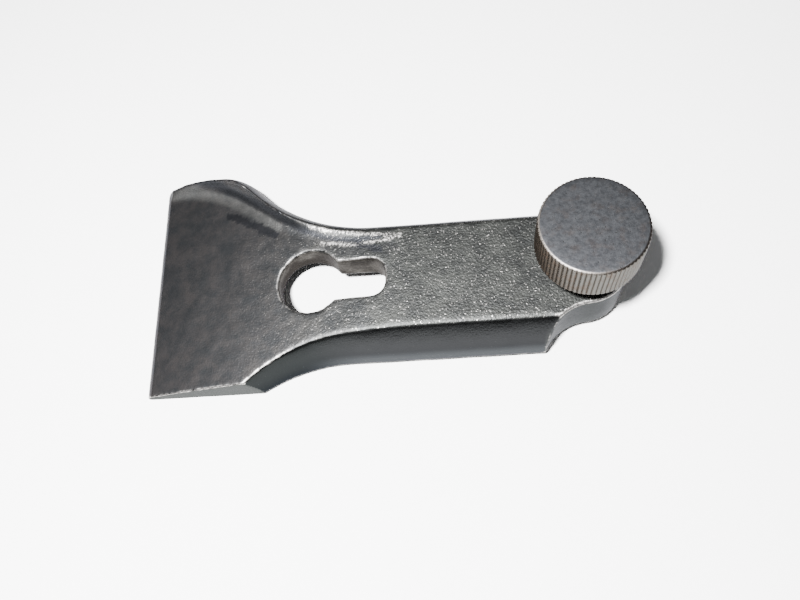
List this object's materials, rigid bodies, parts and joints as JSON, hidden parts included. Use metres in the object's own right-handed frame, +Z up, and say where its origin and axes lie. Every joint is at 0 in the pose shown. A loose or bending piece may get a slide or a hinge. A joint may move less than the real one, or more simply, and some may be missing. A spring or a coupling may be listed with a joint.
{
  "type": "lever cap with thumbscrew",
  "caption": "Cast lever cap of a small metal plane: flared lip, keyhole slot, one raised ear, and a knurled thumbscrew through its round tail.",
  "frame": {"origin": "middle of the screw's tip, the lowest point of the part", "axes": "+X from the lip to the screw, +Y towards the raised ear, +Z up along the screw"},
  "size_m": [0.078, 0.0387, 0.0217],
  "materials": {
    "dark_iron": "dark japanned cast iron, rough as cast on top and smoother on the nose",
    "screw_steel": "plain turned steel, dulled",
    "head_steel": "aged steel with a straight knurl and a little rust tint"
  },
  "bodies": {
    "cap": {"lever_cap": "dark_iron"},
    "stem": {"thumbscrew_stem": "screw_steel"},
    "head": {"thumbscrew_head": "head_steel"}
  },
  "joints": [
    {"name": "screw_advance", "type": "slide", "parent": "cap", "child": "stem", "axis": [0, 0, 1], "range_m": [-0.0044, 0.0049]},
    {"name": "screw_turn", "type": "hinge", "parent": "stem", "child": "head", "pos_m": [0, 0, 0.0147], "axis": [0, 0, 1], "range_deg": [-1500, 1680]}
  ],
  "couplings": [
    {"joint": "screw_turn", "follows": "screw_advance", "rad_per_m": 5938.7}
  ]
}
